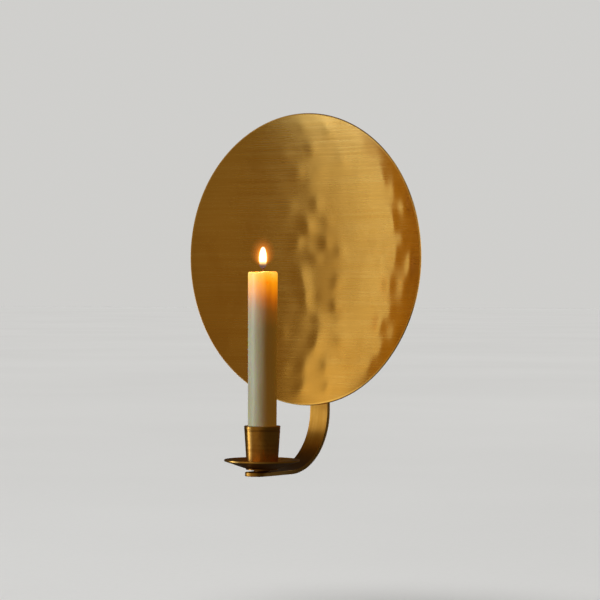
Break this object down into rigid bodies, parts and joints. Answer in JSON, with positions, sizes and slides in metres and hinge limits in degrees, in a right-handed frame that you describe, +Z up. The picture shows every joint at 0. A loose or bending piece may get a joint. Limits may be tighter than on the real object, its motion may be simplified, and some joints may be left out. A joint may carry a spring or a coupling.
{
  "type": "wall sconce candle holder",
  "caption": "Round hand-beaten brass reflector on a flat bent strap that hangs on the wall and carries a drip pan, a tapered cup and a removable candle.",
  "frame": {"origin": "centre of the round entry of the strap's keyhole, on the wall plane", "axes": "+Z up, +Y into the wall, the object stands in front of the wall at negative Y, +X to the right as seen from the room"},
  "size_m": [0.2202, 0.0996, 0.271],
  "materials": {
    "reflector_brass": "brushed, hand-beaten",
    "strap_brass": "brushed, darkened",
    "turned_brass": "turned, satin, darkened",
    "screw_brass": "satin",
    "wax": "ivory candle wax, satin",
    "wick": "braided cotton, charred tip"
  },
  "bodies": {
    "holder": {"reflector_dish": "reflector_brass", "dish_bosses": "turned_brass", "dish_screws": "screw_brass", "bracket_arm": "strap_brass", "pan_spacer": "turned_brass", "drip_pan": "turned_brass", "candle_cup": "turned_brass", "cup_screw": "screw_brass"},
    "candle": {"candle_wax": "wax", "candle_wick": "wick"}
  },
  "joints": [
    {"name": "candle_lift", "type": "slide", "parent": "holder", "child": "candle", "axis": [0, 0, 1], "range_m": [0, 0.06]}
  ]
}
